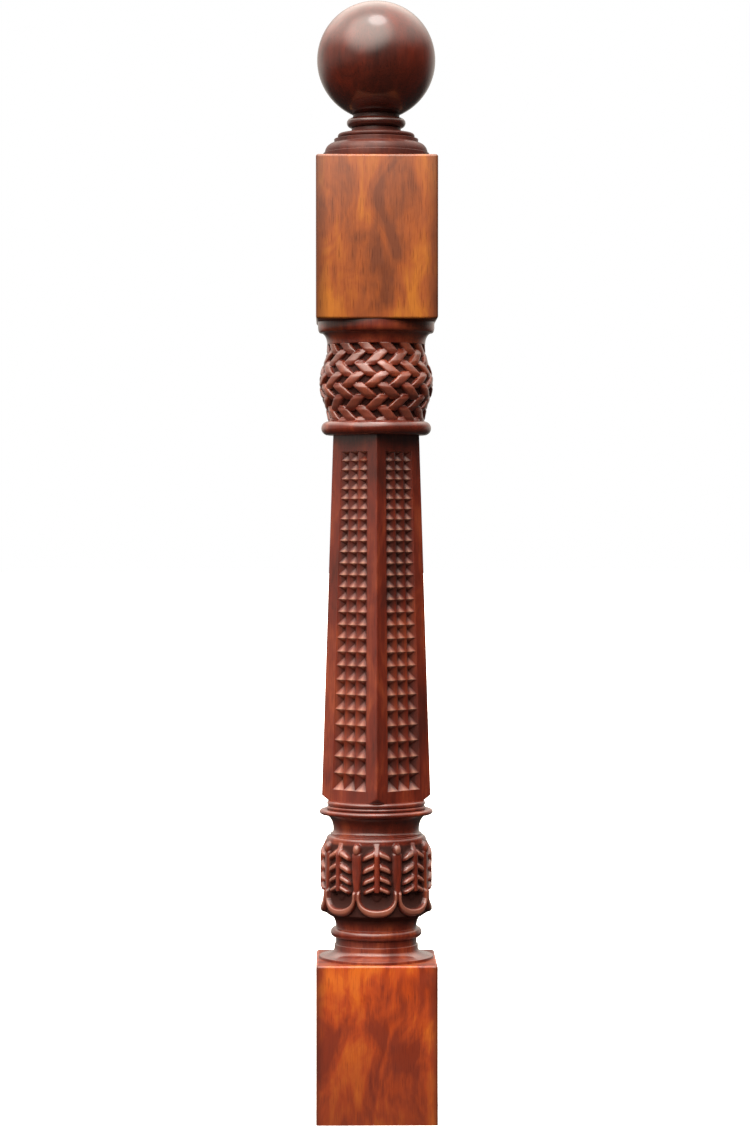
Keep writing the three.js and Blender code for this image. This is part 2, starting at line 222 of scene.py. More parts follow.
# How much darker the end grain of the blocks is, and the painted shadow on the cap and the painted
# shade deep in a chip; and how much paler the crests of the carving are, by a painted highlight
# with some wear, and the middles of the chips' level ridges, by a painted highlight
END_GRAIN_DARKENING = 0.6
CAP_SHADOW = 0.65
CHIP_PIT_SHADE = 0.95
WEAVE_HIGHLIGHT_AND_WEAR = 0.15
CREST_HIGHLIGHT_AND_WEAR = 0.35
CHIP_HIGHLIGHT = 1.0

# Where the painted shade and the painted highlight with some wear begin and end: in the weave by
# the share of a strand's height that is lost, on the leaves by the relief and by the depth below
# the bulb's top, in millimetres
WEAVE_SHADE_RANGE = (0.35, 0.95)
WEAVE_HIGHLIGHT_RANGE = (0.3, 0.05)
LEAF_SHADE_RANGE = (3.2, 0.6)
LEAF_HIGHLIGHT_RANGE = (3.6, 4.6)
MIDRIB_SHADE_LESS = 3
LEAF_SHADE_TOP = (0.5, 4)
LEAF_SHADE_FOOT = (88, 76)

# How far in millimetres a turning is searched for higher members beside a hollow, and the depth at
# which a hollow counts as full
HOLLOW_REACH = 7
HOLLOW_FULL = 9

# Fineness of the meshes
TURNING_STEPS = 128
CURVE_STEPS = 10
EDGE_EASE = 0.5
EASE_SHARE = 0.45
EASED_TURN = math.radians(22)
BLOCK_EDGE_STEPS = 5
WEAVE_STEPS_PER_STRAND = 32
WEAVE_ROWS = 150
LEAF_STEPS_PER_MOTIF = 58
LEAF_ROW_HEIGHT = 0.56
BALL_ROWS = 72
BORDER_STEPS = 8
CHAMFER_ROWS = 12
RIDGE_STEPS = 2
ARRIS_STEPS = 3
MERGE_DISTANCE = 1e-6
WAVER_SCALE = 0.09

# Heights of the members
COLLAR_BASE = LOWER_BLOCK_HEIGHT + FOOT_FILLET_HEIGHT + FOOT_COVE_HEIGHT
FOOT_TOP = COLLAR_BASE + COLLAR_HEIGHT + GROOVE_HEIGHT + FOOT_RING_HEIGHT
BULB_TOP = FOOT_TOP + BULB_FOOT_HEIGHT + BULB_BODY_HEIGHT + BULB_TOP_HEIGHT
HOLLOW_BASE = BULB_TOP + SHOULDER_HEIGHT
HOLLOW_TOP = HOLLOW_BASE + HOLLOW_FILLET_HEIGHT + HOLLOW_FOOT_HEIGHT + HOLLOW_TOP_HEIGHT
NECK_BASE = HOLLOW_TOP + LIP_HEIGHT
SHAFT_BASE = NECK_BASE + LOW_NECK_BEAD_HEIGHT + HIGH_NECK_BEAD_HEIGHT
SHAFT_TOP = SHAFT_BASE + SHAFT_HEIGHT
WEAVE_BASE = SHAFT_TOP + SHAFT_BEAD_HEIGHT
WEAVE_TOP = WEAVE_BASE + WEAVE_HEIGHT
UPPER_BLOCK_BASE = WEAVE_TOP + NECKING_HEIGHT + RING_HEIGHT
CAP_BASE = UPPER_BLOCK_BASE + UPPER_BLOCK_HEIGHT
CAP_STEP_TOP = CAP_BASE + CAP_FILLET_HEIGHT + CAP_OVOLO_HEIGHT + CAP_STEP_HEIGHT
CAP_TOP = CAP_STEP_TOP + CAP_DISC_HEIGHT + CAP_NECK_HEIGHT


class Outline:
    """The outline of a turned member, drawn upwards from a height, as (radius, height) points."""

    def __init__(self, height, radius=0):
        self.points = [(0, height)]
        if radius:
            self.points.append((radius, height))

    @property
    def end(self):
        return self.points[-1]

    def to(self, radius, rise):
        self.points.append((radius, self.end[1] + rise))
        return self

    def level_curve(self, radius, rise):
        """A quarter curve that sets off level and ends upright."""
        start, base = self.end
        for i in range(1, CURVE_STEPS + 1):
            turn = math.pi / 2 * i / CURVE_STEPS
            out = start + (radius - start) * math.sin(turn)
            self.points.append((out, base + rise * (1 - math.cos(turn))))
        return self

    def upright_curve(self, radius, rise):
        """A quarter curve that sets off upright and ends level."""
        start, base = self.end
        for i in range(1, CURVE_STEPS + 1):
            turn = math.pi / 2 * i / CURVE_STEPS
            out = start + (radius - start) * (1 - math.cos(turn))
            self.points.append((out, base + rise * math.sin(turn)))
        return self

    def bead(self, radius, rise, depth=None):
        """A rounded bead that stands out by its depth."""
        depth = depth or rise / 2
        base = self.end[1]
        for i in range(CURVE_STEPS + 1):
            turn = math.pi * i / CURVE_STEPS
            out = radius - depth + depth * math.sin(turn)
            self.points.append((out, base + rise * (1 - math.cos(turn)) / 2))
        return self

    def close(self):
        self.points.append((0, self.end[1]))
        return self.points


def eased(points):
    """The outline with every sharp corner rounded by a few points."""
    points = [Vector(p) for p in points]
    points = [p for i, p in enumerate(points) if i == 0 or (p - points[i - 1]).length > 1e-4]
    rounded = [points[0]]
    for before, corner, after in zip(points, points[1:], points[2:]):
        back = before - corner
        ahead = after - corner
        turn = math.pi - back.angle(ahead)
        if turn < EASED_TURN or corner.x < 1:
            rounded.append(corner)
            continue
        reach = min(EDGE_EASE, EASE_SHARE * back.length, EASE_SHARE * ahead.length)
        start = corner + back.normalized() * reach
        finish = corner + ahead.normalized() * reach
        for t in (0, 0.25, 0.5, 0.75, 1):
            rounded.append((1 - t) ** 2 * start + 2 * t * (1 - t) * corner + t**2 * finish)
    rounded.append(points[-1])
    return rounded


def hollowness(points):
    """How far each outline point lies behind its neighbours, from 0 to 1."""
    radii = np.array([p.x for p in points])
    heights = np.array([p.y for p in points])
    found = []
    for radius, height in zip(radii, heights):
        above = radii[(heights >= height) & (heights < height + HOLLOW_REACH)].max()
        below = radii[(heights <= height) & (heights > height - HOLLOW_REACH)].max()
        found.append(min(1, (min(above, below) - radius) / HOLLOW_FULL))
    return found


def finish_mesh(bm, name, smooth_angle=35):
    """Makes an object of the mesh, rounded where it bends gently and crisp where it is cut."""
    bmesh.ops.remove_doubles(bm, verts=bm.verts, dist=MERGE_DISTANCE)
    bmesh.ops.recalc_face_normals(bm, faces=bm.faces)
    mesh = bpy.data.meshes.new(name)
    bm.to_mesh(mesh)
    bm.free()
    mesh.shade_smooth()
    mesh.set_sharp_from_angle(angle=math.radians(smooth_angle))
    made = bpy.data.objects.new(name, mesh)
    bpy.context.scene.collection.objects.link(made)
    return made


def spun(points, steps=TURNING_STEPS):
    """A closed turned mesh of an outline, with the hollowness of its outline kept on its points."""
    bm = bmesh.new()
    # The hollowness darkens the wood there: painted shade in the recesses
    layer = bm.verts.layers.float.new("hollow")
    row = []
    for point, hollow in zip(points, hollowness(points)):
        vert = bm.verts.new((0, -point.x * MM, point.y * MM))
        vert[layer] = hollow
        row.append(vert)
    edges = [bm.edges.new(pair) for pair in zip(row, row[1:])]
    bmesh.ops.spin(
        bm,
        geom=row + edges,
        cent=(0, 0, 0),
        axis=(0, 0, 1),
        angle=2 * math.pi,
        steps=steps,
        use_merge=True,
    )
    bmesh.ops.remove_doubles(bm, verts=bm.verts, dist=MERGE_DISTANCE)
    return bm


def turning(name, outline, painted_shadow=0):
    """A turned member. Its painted shadow is the least darkening that it has all over."""
    bm = spun(eased(outline.close()))
    layer = bm.verts.layers.float["hollow"]
    for vert in bm.verts:
        vert[layer] = max(vert[layer], painted_shadow)
    return finish_mesh(bm, name)


def smooth_step(low, high, value):
    """A smooth change from 0 at the first value to 1 at the second."""
    share = np.clip((value - low) / (high - low), 0, 1)
    return share * share * (3 - 2 * share)


def crown(reach, squareness):
    """The height of a rounded ridge, from 1 over its middle to 0 where its reach is 1."""
    return np.sqrt(np.clip(1 - reach**squareness, 0, 1))


def off_whole(value):
    """How far a value lies from the nearest whole number."""
    return value - np.round(value)


def hand_waver(co, amount):
    """The small unevenness of work cut by hand."""
    return amount * np.array([noise.noise(Vector(c) * WAVER_SCALE) for c in co])


def carve(bm, carving, waver):
    """Moves the surface of a turned mesh in or out by a function of angle and height."""
    verts = list(bm.verts)
    layer = bm.verts.layers.float["hollow"]
    co = np.array([v.co for v in verts]) / MM
    radius = np.hypot(co[:, 0], co[:, 1])
    angle = np.arctan2(co[:, 0], -co[:, 1])
    rise, hollow = carving(angle, co[:, 2])
    rise = rise + hand_waver(co, waver)
    scale = np.where(radius > 1, (radius + rise) / np.maximum(radius, 1), 1)
    for vert, share, depth in zip(verts, scale, hollow):
        vert.co.x *= share
        vert.co.y *= share
        vert[layer] = depth


def weave_swell(above):
    """Radius of the weave bulb at a height above its foot."""
    share = np.sin(np.pi * above / WEAVE_HEIGHT) ** 2
    return WEAVE_NECK_RADIUS + (WEAVE_RADIUS - WEAVE_NECK_RADIUS) * share


def weave_carving(angle, height):
    """Depth of the weave. Each strand shows as a crowned block where it passes over others."""
    turn = angle * WEAVE_STRANDS / (2 * np.pi)
    climb = (height - WEAVE_BASE - FIRST_CROSSING) / CROSSING_RISE - 1
    spacing = 2 * np.pi / WEAVE_STRANDS * weave_swell(height - WEAVE_BASE)
    tilt = np.arctan2(CROSSING_RISE, spacing / 2)
    half = STRAND_WIDTH / 2 / (spacing * np.sin(tilt))
    surface = np.full(angle.shape, -STRAND_HEIGHT)
    for across, along in (
        (off_whole(turn - climb / 2), 2 * np.abs(off_whole(climb / 2))),
        (off_whole(turn + climb / 2), 2 * np.abs(off_whole(climb / 2 + 0.5))),
    ):
        reach = np.clip(np.abs(across) / half, 0, 1)
        slope = SLOPE_SINK * smooth_step(*SLOPE_STRETCH, along)
        dive = DIVE_SINK * smooth_step(*DIVE_STRETCH, along)
        level = STRAND_HEIGHT * (1 - slope - dive)
        strand = level * crown(reach, STRAND_SQUARENESS) - STRAND_CROWN * reach**2
        surface = np.where(reach < 1, np.maximum(surface, strand - STRAND_HEIGHT), surface)
    # Painted shade where a strand sinks, and a painted highlight, with some wear, where it stands
    # high
    sunk = -surface / STRAND_HEIGHT
    hollow = smooth_step(*WEAVE_SHADE_RANGE, sunk) - WEAVE_HIGHLIGHT_AND_WEAR * smooth_step(*WEAVE_HIGHLIGHT_RANGE, sunk)
    return surface, hollow


def leaflet_swell(depth):
    """Swelling of the leaflets with depth: each rises gently to its crest and then falls away."""
    first = depth - LEAFLET_CRESTS[0]
    swell = smooth_step(*FIRST_LEAFLET_RISE, first) * (first < 0)
    for upper, lower in zip(LEAFLET_CRESTS, LEAFLET_CRESTS[1:]):
        share = (depth - upper) / (lower - upper)
        fall = 1 - smooth_step(*LEAFLET_FALL, share)
        rise = smooth_step(*LEAFLET_RISE, share)
        swell = np.where((share >= 0) & (share < 1), np.maximum(fall, rise), swell)
    return swell


def frond_relief(side, below):
    """A frond: a midrib, and leaflets that droop away from it on both sides."""
    hanging = smooth_step(0, LEAFLET_CRESTS[0], below)
    curl = 1 - DROOP_CURL + DROOP_CURL * side / LEAFLET_LENGTH
    depth = below - LEAFLET_DROOP * side * curl * hanging
    past = depth - LAST_CREST
    swell = leaflet_swell(depth) * (past < FROND_END)
    reach = LEAFLET_LENGTH * (1 - LEAFLET_NOTCH + LEAFLET_NOTCH * swell)
    reach = reach * smooth_step(*FROND_SPREAD, depth)
    reach = reach * (1 - FROND_TAPER * smooth_step(*FROND_TAPER_STRETCH, past))
    edge = np.sqrt(np.clip((reach - side) / LEAFLET_TIP, 0, 1)) * smooth_step(*LEAFLET_ROOT, side)
    leaflets = FROND_RELIEF * (past < FROND_GROUND_END) + LEAFLET_RELIEF * swell
    leaflets = leaflets * edge * smooth_step(*FROND_START, depth)
    midrib = MIDRIB_RELIEF * crown(side / MIDRIB_HALF_WIDTH, MIDRIB_SQUARENESS)
    midrib = midrib * smooth_step(*MIDRIB_RISE, below) * (below - LAST_CREST < MIDRIB_END)
    return np.maximum(leaflets, midrib)


def oval(side, drop, half_width, height, power):
    """0 at the middle of an oval's straight top and 1 on its edge."""
    down = np.maximum(drop, 0) / height
    return ((side / half_width) ** power + down**power) ** (1 / power)


def cup_relief(side, below):
    """A cup under a frond: its raised rim, and its hollow with a small tongue hanging in it."""
    beyond = below - LAST_CREST
    drop = below - CUP_DEPTH
    outer = oval(side, drop, CUP_HALF_WIDTH, CUP_DROP, CUP_ROUNDNESS)
    inner = oval(side, drop, HOLLOW_HALF_WIDTH, HOLLOW_DROP, HOLLOW_ROUNDNESS)
    across = np.clip((inner - 1) / np.maximum(inner - outer, 1e-6), 0, 1)
    rim = CUP_RELIEF * crown(np.abs(2 * across - 1), CUP_RIM_SQUARENESS)
    rim = np.where((outer < 1) & (inner > 1), rim, 0) * smooth_step(*CUP_START, beyond)
    bowl = -CUP_HOLLOW * np.clip(1 - inner**CUP_HOLLOW_SQUARENESS, 0, 1)
    bowl = bowl * smooth_step(*HOLLOW_START, beyond)
    reach = oval(side, beyond - TONGUE_TOP, TONGUE_HALF_WIDTH, TONGUE_LENGTH, 2)
    tongue = TONGUE_RELIEF * crown(reach, TONGUE_SQUARENESS)
    return rim, bowl + tongue * (beyond > TONGUE_SHOWS) * (inner < 1)


def lance_relief(from_middle, below):
    """A lance between two fronds, with a round bud over it."""
    taper = np.clip((LANCE_LENGTH - below) / LANCE_TAPER, 0, 1) ** LANCE_TAPER_POWER
    half_width = np.maximum(LANCE_HALF_WIDTH * taper, LANCE_LEAST_WIDTH)
    reach = np.clip(from_middle / half_width, 0, 1)
    lance = LANCE_RELIEF * crown(reach, LANCE_SQUARENESS)
    lance = lance * smooth_step(*LANCE_START, below - BUD_DEPTH)
    lance = lance * smooth_step(LANCE_LENGTH, LANCE_LENGTH - LANCE_POINT, below)
    bud_reach = np.hypot(from_middle / BUD_HALF_WIDTH, (below - BUD_DEPTH) / BUD_HALF_HEIGHT)
    return np.maximum(lance, BUD_RELIEF * crown(bud_reach, 2))


def leaf_carving(angle, height):
    """Relief of the leaf bulb: fronds of drooping leaflets, cups under them and lances between."""
    motif = 2 * np.pi / LEAF_MOTIFS
    side = np.abs(off_whole(angle / motif)) * motif * BULB_RADIUS
    from_middle = motif * BULB_RADIUS / 2 - side
    below = BULB_TOP - height
    beyond = below - LAST_CREST
    rim, bowl = cup_relief(side, below)
    lance = lance_relief(from_middle, below)
    raised = np.maximum.reduce([frond_relief(side, below), rim, lance])
    relief = np.where(raised > GROUND_RELIEF, raised, bowl)
    relief = relief * smooth_step(*CARVING_TOP, below)
    relief = relief * smooth_step(*CARVING_FOOT, below - CUP_DEPTH - CUP_DROP)
    # Painted shade in the hollows of the carving, less on the midrib, and a painted highlight, with
    # some wear, on the crests off the midrib
    less_shade = MIDRIB_SHADE_LESS * (side < MIDRIB_HALF_WIDTH) * (beyond < 0)
    hollow = smooth_step(*LEAF_SHADE_RANGE, relief + less_shade)
    hollow = hollow * smooth_step(*LEAF_SHADE_TOP, below) * smooth_step(*LEAF_SHADE_FOOT, below)
    off_midrib = (side > MIDRIB_HALF_WIDTH) | (beyond > MIDRIB_END)
    return relief, hollow - CREST_HIGHLIGHT_AND_WEAR * smooth_step(*LEAF_HIGHLIGHT_RANGE, relief) * off_midrib


def soften(bm, edges, width, steps):
    """Rounds edges of a mesh by a width in millimetres."""
    bmesh.ops.bevel(
        bm,
        geom=edges,
        offset=width * MM,
        segments=steps,
        profile=0.5,
        affect="EDGES",
        material=-1,
    )


def square_block(name, base, height, sharp_foot):
    """A square block with eased edges. The lower block's foot stays sharp where it stands."""
    bm = bmesh.new()
    side = BLOCK_SIDE * MM
    place = Matrix.Translation((0, 0, (base + height / 2) * MM))
    size = Matrix.Diagonal((side, side, height * MM, 1))
    bmesh.ops.create_cube(bm, size=1, matrix=place @ size)
    foot = [e for e in bm.edges if all(v.co.z < (base + 1) * MM for v in e.verts)]
    edges = [e for e in bm.edges if not (sharp_foot and e in foot)]
    soften(bm, edges, BLOCK_EDGE, BLOCK_EDGE_STEPS)
    layer = bm.verts.layers.float.new("hollow")
    bm.normal_update()
    for vert in bm.verts:
        on_end = any(abs(f.normal.z) > 0.99 for f in vert.link_faces)
        vert[layer] = END_GRAIN_DARKENING if on_end else 0
    return finish_mesh(bm, name, 50)


def shaft_corner(above):
    """Distance from the axis to the shaft's corner at a height above its foot."""
    return SHAFT_FOOT_CORNER + (SHAFT_TOP_CORNER - SHAFT_FOOT_CORNER) * above / SHAFT_HEIGHT


def panel_lines():
    """Heights of the lines between the chip rows, above the shaft's foot."""
    height = SHAFT_HEIGHT - PANEL_FOOT_MARGIN - PANEL_TOP_MARGIN
    pitches = [ROW_GROWTH ** -row for row in range(PANEL_ROWS)]
    lines = [PANEL_FOOT_MARGIN]
    for pitch in pitches:
        lines.append(lines[-1] + pitch * height / sum(pitches))
    return lines


def panel_half(above):
    """Half the width of a panel at a height above the shaft's foot."""
    panel_height = SHAFT_HEIGHT - PANEL_FOOT_MARGIN - PANEL_TOP_MARGIN
    share = np.clip((above - PANEL_FOOT_MARGIN) / panel_height, 0, 1)
    return (PANEL_FOOT_WIDTH + (PANEL_TOP_WIDTH - PANEL_FOOT_WIDTH) * share) / 2


def shaft_point(face, across, above):
    """A point on a face of the shaft, held inside the corners that are cut off at its foot."""
    turn = math.pi / 4 + face * math.pi / 2
    out = shaft_corner(above) * math.sqrt(0.5)
    x = out * math.sin(turn) + across * math.cos(turn)
    y = -out * math.cos(turn) + across * math.sin(turn)
    flare = SHAFT_CORNER_CHAMFER / SHAFT_CORNER_CHAMFER_HEIGHT
    limit = SHAFT_FOOT_CORNER - SHAFT_CORNER_CHAMFER + flare * max(above, 0)
    shrink = min(1, limit / math.hypot(x, y))
    return Vector((x * shrink, y * shrink, SHAFT_BASE + above)) * MM


def shaft_ring(bm, above):
    """The points round the shaft at one height: a border, the panel and a border on each face."""
    edge = shaft_corner(above) * math.sqrt(0.5)
    half = panel_half(above)
    across = [-edge + (edge - half) * i / BORDER_STEPS for i in range(BORDER_STEPS)]
    across += [half * (i / PANEL_COLUMNS - 1) for i in range(2 * PANEL_COLUMNS + 1)]
    across += [half + (edge - half) * i / BORDER_STEPS for i in range(1, BORDER_STEPS)]
    return [bm.verts.new(shaft_point(face, a, above)) for face in range(4) for a in across]


def shaft_skin(bm):
    """The closed skin of the shaft. Returns the faces that become chips, each two steps wide."""
    lines = panel_lines()
    foot = [SHAFT_CORNER_CHAMFER_HEIGHT * i / CHAMFER_ROWS for i in range(CHAMFER_ROWS + 1)]
    rows = [-JOINT] + foot + lines + [SHAFT_HEIGHT + JOINT]
    grid = [shaft_ring(bm, above) for above in rows]
    count = len(grid[0])
    first_line = rows.index(lines[0])
    panel_levels = range(first_line, first_line + PANEL_ROWS)
    chips = []
    for level, (low, high) in enumerate(zip(grid, grid[1:])):
        for i in range(count):
            column = i % (count // 4) - BORDER_STEPS
            after = (i + 1) % count
            if level not in panel_levels or not 0 <= column < 2 * PANEL_COLUMNS:
                bm.faces.new((low[i], low[after], high[after], high[i]))
            elif column % 2 == 0:
                chips.append(bm.faces.new(low[i : i + 3] + high[i : i + 3][::-1]))
    bm.faces.new(reversed(grid[0]))
    bm.faces.new(grid[-1])
    bm.normal_update()
    return chips


def cut_chips(bm, layer, chips):
    """Sinks the panels and cuts chips, with a painted highlight mid-ridge and painted shade in the
    pit.
    """
    wall, drop = PANEL_WALL * MM, CHIP_RIDGE_DROP * MM
    bmesh.ops.inset_region(bm, faces=chips, thickness=wall, depth=-drop)
    bm.normal_update()
    straight = math.radians(170)
    # Painted highlights on the middles of the chips' level ridges
    for loop in [c for f in chips for c in f.loops if c.calc_angle() > straight]:
        loop.vert[layer] = -CHIP_HIGHLIGHT
    panel = set(chips)
    ridges = [e for e in bm.edges if e.link_faces and panel.issuperset(e.link_faces)]
    for chip in chips:
        tall = max(v.co.z for v in chip.verts) - min(v.co.z for v in chip.verts)
        tip = chip.calc_center_median() - chip.normal * tall * CHIP_SLOPE
        tip.z += tall * CHIP_TIP_RISE
        pit = bmesh.ops.poke(bm, faces=[chip])["verts"][0]
        pit.co = tip
        # Painted shade deep in the pit
        pit[layer] = CHIP_PIT_SHADE
    soften(bm, ridges, RIDGE_EASE, RIDGE_STEPS)


def arris_edges(bm):
    """The edges of the shaft's four upright corners, above those that are cut off."""
    foot = (SHAFT_BASE + SHAFT_CORNER_CHAMFER_HEIGHT) * MM
    near_corner = SHAFT_TOP_CORNER * 0.98 * MM
    return [
        e
        for e in bm.edges
        if len(e.link_faces) == 2
        and e.calc_face_angle() > math.radians(60)
        and min(v.co.z for v in e.verts) > foot
        and abs(e.verts[0].co.z - e.verts[1].co.z) > MM
        and min(math.hypot(v.co.x, v.co.y) for v in e.verts) > near_corner
    ]


def tapered_shaft():
    """The square shaft, corner forwards, with a panel of four-sided chips on each face."""
    bm = bmesh.new()
    layer = bm.verts.layers.float.new("hollow")
    cut_chips(bm, layer, shaft_skin(bm))
    soften(bm, arris_edges(bm), ARRIS_EASE, ARRIS_STEPS)
    return finish_mesh(bm, "tapered_shaft", 24)


def foot_turning():
    outline = Outline(LOWER_BLOCK_HEIGHT - JOINT, FOOT_RADIUS)
    outline.to(FOOT_RADIUS, JOINT + FOOT_FILLET_HEIGHT).level_curve(COLLAR_RADIUS, FOOT_COVE_HEIGHT)
    outline.to(COLLAR_RADIUS, COLLAR_HEIGHT).to(GROOVE_RADIUS, 0).to(GROOVE_RADIUS, GROOVE_HEIGHT)
    outline.bead(FOOT_RING_RADIUS, FOOT_RING_HEIGHT)
    return turning("foot_turning", outline)


def leaf_bulb():
    outline = Outline(FOOT_TOP - JOINT, BULB_FOOT_RADIUS)
    outline.to(BULB_FOOT_RADIUS, JOINT).upright_curve(BULB_FOOT_COVE_RADIUS, BULB_FOOT_COVE_HEIGHT)
    stretches = (
        (BULB_FOOT_COVE_RADIUS, BULB_RADIUS, BULB_FOOT_HEIGHT - BULB_FOOT_COVE_HEIGHT),
        (BULB_RADIUS, BULB_RADIUS, BULB_BODY_HEIGHT),
        (BULB_RADIUS, BULB_TOP_RADIUS, BULB_TOP_HEIGHT),
    )
    for start, finish, rise in stretches:
        rows = max(1, round(rise / LEAF_ROW_HEIGHT))
        for i in range(1, rows + 1):
            outline.to(start + (finish - start) * i / rows, rise / rows)
    points = [Vector(p) for p in outline.close()]
    bm = spun(points, LEAF_MOTIFS * LEAF_STEPS_PER_MOTIF)
    carve(bm, leaf_carving, LEAF_WAVER)
    return finish_mesh(bm, "leaf_bulb", 60)


def hollow_and_lip():
    outline = Outline(BULB_TOP - JOINT, BULB_TOP_RADIUS - JOINT)
    outline.to(BULB_TOP_RADIUS, JOINT).upright_curve(SHOULDER_RADIUS, SHOULDER_HEIGHT)
    outline.to(HOLLOW_FILLET_RADIUS, 0).to(HOLLOW_FILLET_RADIUS, HOLLOW_FILLET_HEIGHT)
    outline.level_curve(HOLLOW_RADIUS, HOLLOW_FOOT_HEIGHT)
    outline.upright_curve(HOLLOW_TOP_RADIUS, HOLLOW_TOP_HEIGHT)
    outline.bead(LIP_RADIUS, LIP_HEIGHT)
    outline.bead(NECK_BEAD_RADIUS, LOW_NECK_BEAD_HEIGHT)
    outline.bead(NECK_BEAD_RADIUS, HIGH_NECK_BEAD_HEIGHT)
    return turning("hollow_and_lip", outline)


def shaft_bead():
    return turning("shaft_bead", Outline(SHAFT_TOP).bead(SHAFT_BEAD_RADIUS, SHAFT_BEAD_HEIGHT))


def weave_bulb():
    outline = Outline(WEAVE_BASE - JOINT, WEAVE_NECK_RADIUS - 1)
    for i in range(WEAVE_ROWS + 1):
        above = WEAVE_HEIGHT * i / WEAVE_ROWS
        outline.to(weave_swell(above), WEAVE_BASE + above - outline.end[1])
    outline.to(WEAVE_NECK_RADIUS - 1, JOINT)
    points = [Vector(p) for p in outline.close()]
    bm = spun(points, WEAVE_STRANDS * WEAVE_STEPS_PER_STRAND)
    carve(bm, weave_carving, WEAVE_WAVER)
    return finish_mesh(bm, "weave_bulb", 60)


def necking_and_ring():
    outline = Outline(WEAVE_TOP - JOINT, WEAVE_NECK_RADIUS - STRAND_HEIGHT)
    outline.to(WEAVE_NECK_RADIUS, JOINT).upright_curve(NECKING_RADIUS, NECKING_HEIGHT)
    outline.level_curve(RING_RADIUS, RING_HEIGHT / 2).to(RING_RADIUS, RING_HEIGHT / 2 + JOINT)
    return turning("necking_and_ring", outline)


def cap():
    outline = Outline(CAP_BASE - JOINT, CAP_RADIUS)
    outline.to(CAP_RADIUS, JOINT + CAP_FILLET_HEIGHT).to(CAP_OVOLO_RADIUS, 0)
    outline.upright_curve(CAP_STEP_RADIUS, CAP_OVOLO_HEIGHT).to(CAP_STEP_RADIUS, CAP_STEP_HEIGHT)
    outline.bead(CAP_DISC_RADIUS, CAP_DISC_HEIGHT)
    outline.to(CAP_NECK_RADIUS, 0).to(CAP_NECK_RADIUS, CAP_NECK_HEIGHT)
    # The cap is darkened all over by a painted shadow of the ball above it
    return turning("cap_turning", outline, CAP_SHADOW)


def ball():
    outline = Outline(CAP_TOP + SEAT_GAP).bead(FINIAL_RING_RADIUS, FINIAL_RING_HEIGHT)
    outline.to(WAIST_RADIUS, 0).to(WAIST_RADIUS, WAIST_HEIGHT)
    start = math.asin(WAIST_RADIUS / BALL_RADIUS)
    centre = outline.end[1] + BALL_RADIUS * math.cos(start)
    for i in range(1, BALL_ROWS):
        turn = start + (math.pi - start) * i / BALL_ROWS
        height = centre - BALL_RADIUS * math.cos(turn)
        outline.to(BALL_RADIUS * math.sin(turn), height - outline.end[1])
    outline.points.append((0, centre + BALL_RADIUS))
    return finish_mesh(spun(eased(outline.points)), "ball_turning")


class Nodes:
    """Short forms for building a node tree."""

    def __init__(self, tree):
        self.tree = tree

    def add(self, kind, inputs=None, **settings):
        node = self.tree.nodes.new(kind)
        for key, value in settings.items():
            setattr(node, key, value)
        for key, value in (inputs or {}).items():
            if isinstance(value, bpy.types.NodeSocket):
                self.tree.links.new(value, node.inputs[key])
            else:
                node.inputs[key].default_value = value
        return node

    def math(self, operation, first, second=0.0):
        return self.add("ShaderNodeMath", {0: first, 1: second}, operation=operation).outputs[0]

    def ramp(self, value, stops):
        node = self.add("ShaderNodeValToRGB", {0: value})
        ramp = node.color_ramp
        while len(ramp.elements) < len(stops):
            ramp.elements.new(0.5)
        for element, (place, colour) in zip(ramp.elements, stops):
            element.position = place
            element.color = (*colour, 1)
        return node.outputs["Color"]

    def mix(self, factor, first, second, blend="MIX"):
        node = self.add("ShaderNodeMix", {0: factor}, data_type="RGBA", blend_type=blend)
        for socket, value in ((node.inputs[6], first), (node.inputs[7], second)):
            if isinstance(value, bpy.types.NodeSocket):
                self.tree.links.new(value, socket)
            else:
                socket.default_value = (*value, 1)
        return node.outputs[2]


def linear(hex_colour):
    """A colour given as it looks on screen, as the shader's linear values."""
    parts = [int(hex_colour[i : i + 2], 16) / 255 for i in (0, 2, 4)]
    return tuple(p / 12.92 if p <= 0.04045 else ((p + 0.055) / 1.055) ** 2.4 for p in parts)


# Scales of the wood's patterns in the post's own coordinates, in repeats per metre
SWAY_SCALE = (11, 11, 7)
FLAME_SCALE = (25, 25, 10)
STREAK_SCALE = (150, 150, 14)
FIBRE_SCALE = (900, 900, 30)
PORE_SCALE = (1500, 1500, 60)
DUST_SCALE = (60, 60, 60)
RIPPLE_SCALE = (45, 45, 30)

# How far the sway carries the flames, in metres, how the log lay in the post, and its rings, in
# radians per metre
SWAY = (0.11, 0.11, 0.14)
LOG_PLACE = (0.02, 0.06, 0)
LOG_LEAN = (0.16, -0.12, 0)
RING_TURNS = 620.0

# How strongly each pattern swings the tone. A tone runs from 0, dark, through 0.5 to 1, light.
FLAME_SWING = 4.6
RING_SWING = 0.07
STREAK_SWING = 0.7

# Black and white stops, and the darkening of fibres and pores with its share in the colour
BLACK = (0, 0, 0)
WHITE = (1, 1, 1)
DARK_STOPS = ((0.05, BLACK), (0.5, WHITE))
LIGHT_STOPS = ((0.5, BLACK), (0.95, WHITE))
FIBRE_STOPS = ((0.32, (0.8, 0.78, 0.76)), (0.62, WHITE))
FIBRE_SHARE = 0.3
PORE_STOPS = ((0.3, (0.4, 0.35, 0.3)), (0.4, WHITE))
PORE_SHARE = 0.5

# Painted shade along the upright edges of the blocks, from this distance off the axis, and in the
# hollows
EDGE_SHADE_START = 0.047
EDGE_SHADE = 0.85
HOLLOW_SHADE = 0.93

# Roughness of the surface, from polished to dusty, and what a full hollow adds to it
DUST_RANGE = (0.3, 0.7)
ROUGHNESS_RANGE = (0.34, 0.46)
HOLLOW_ROUGHNESS = 0.4
FIBRE_HEIGHT = 0.18
BUMP_STRENGTH = 0.25
BUMP_DISTANCE = 0.0006

# Wood and lacquer bend light alike, and the wood under the lacquer shines less
IOR = 1.5
SPECULAR_LEVEL = 0.3
COAT_ROUGHNESS = 0.16


